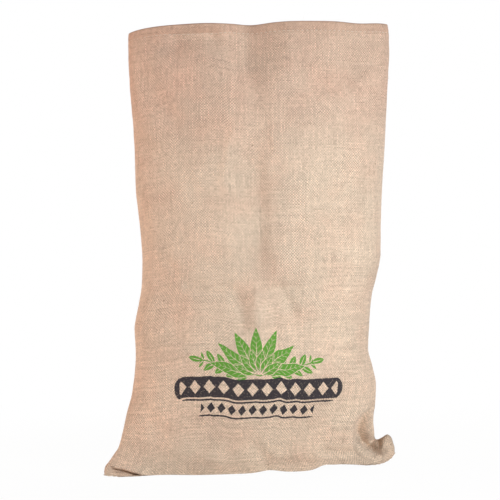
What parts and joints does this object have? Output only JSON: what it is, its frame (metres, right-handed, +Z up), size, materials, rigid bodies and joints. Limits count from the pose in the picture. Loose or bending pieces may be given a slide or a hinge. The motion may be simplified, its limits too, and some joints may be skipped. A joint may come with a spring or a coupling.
{
  "type": "hessian sack",
  "caption": "Empty hessian sack standing open at the mouth, sewn flat at the bottom with two corner ears, with a turned hem and soft packing creases.",
  "frame": {"origin": "on the surface the sack stands on, under the middle of its bounding box", "axes": "+Z up from the base to the mouth, +X to the right along the sack's width as seen from the front, +Y from the front face to the back face"},
  "size_m": [0.4742, 0.2398, 0.7207],
  "materials": {
    "hessian": "undyed jute in an open plain weave, dry and dull"
  },
  "bodies": {
    "root": {"sack_cloth": "hessian"}
  },
  "joints": []
}
